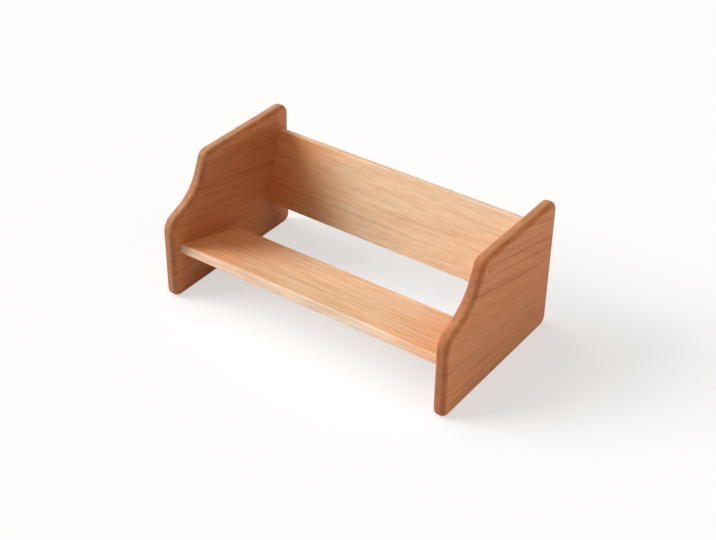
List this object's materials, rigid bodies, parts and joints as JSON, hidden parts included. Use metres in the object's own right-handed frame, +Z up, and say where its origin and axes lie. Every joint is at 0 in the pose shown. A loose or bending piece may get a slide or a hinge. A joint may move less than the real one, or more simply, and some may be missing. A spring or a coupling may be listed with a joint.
{
  "type": "tabletop picture book rack",
  "caption": "Open wooden tabletop rack for picture books: S-curved end panels carry a tilted shelf board and a leaning back board, joined by blind dowels.",
  "frame": {"origin": "on the table, midway along the rack's length and its depth", "axes": "+X along the length to the right-hand end panel, -Y out of the open front, +Z up"},
  "size_m": [0.502, 0.283, 0.216],
  "materials": {
    "panel_wood": "satin oiled cherry",
    "board_wood": "satin oiled cherry",
    "dowel_wood": "raw beech"
  },
  "bodies": {
    "root": {"left_end_panel": "panel_wood", "right_end_panel": "panel_wood", "shelf_board": "board_wood", "back_board": "board_wood", "shelf_dowel_left_1": "dowel_wood", "shelf_dowel_left_2": "dowel_wood", "shelf_dowel_left_3": "dowel_wood", "shelf_dowel_right_1": "dowel_wood", "shelf_dowel_right_2": "dowel_wood", "shelf_dowel_right_3": "dowel_wood", "back_dowel_left_1": "dowel_wood", "back_dowel_left_2": "dowel_wood", "back_dowel_left_3": "dowel_wood", "back_dowel_right_1": "dowel_wood", "back_dowel_right_2": "dowel_wood", "back_dowel_right_3": "dowel_wood"}
  },
  "joints": []
}
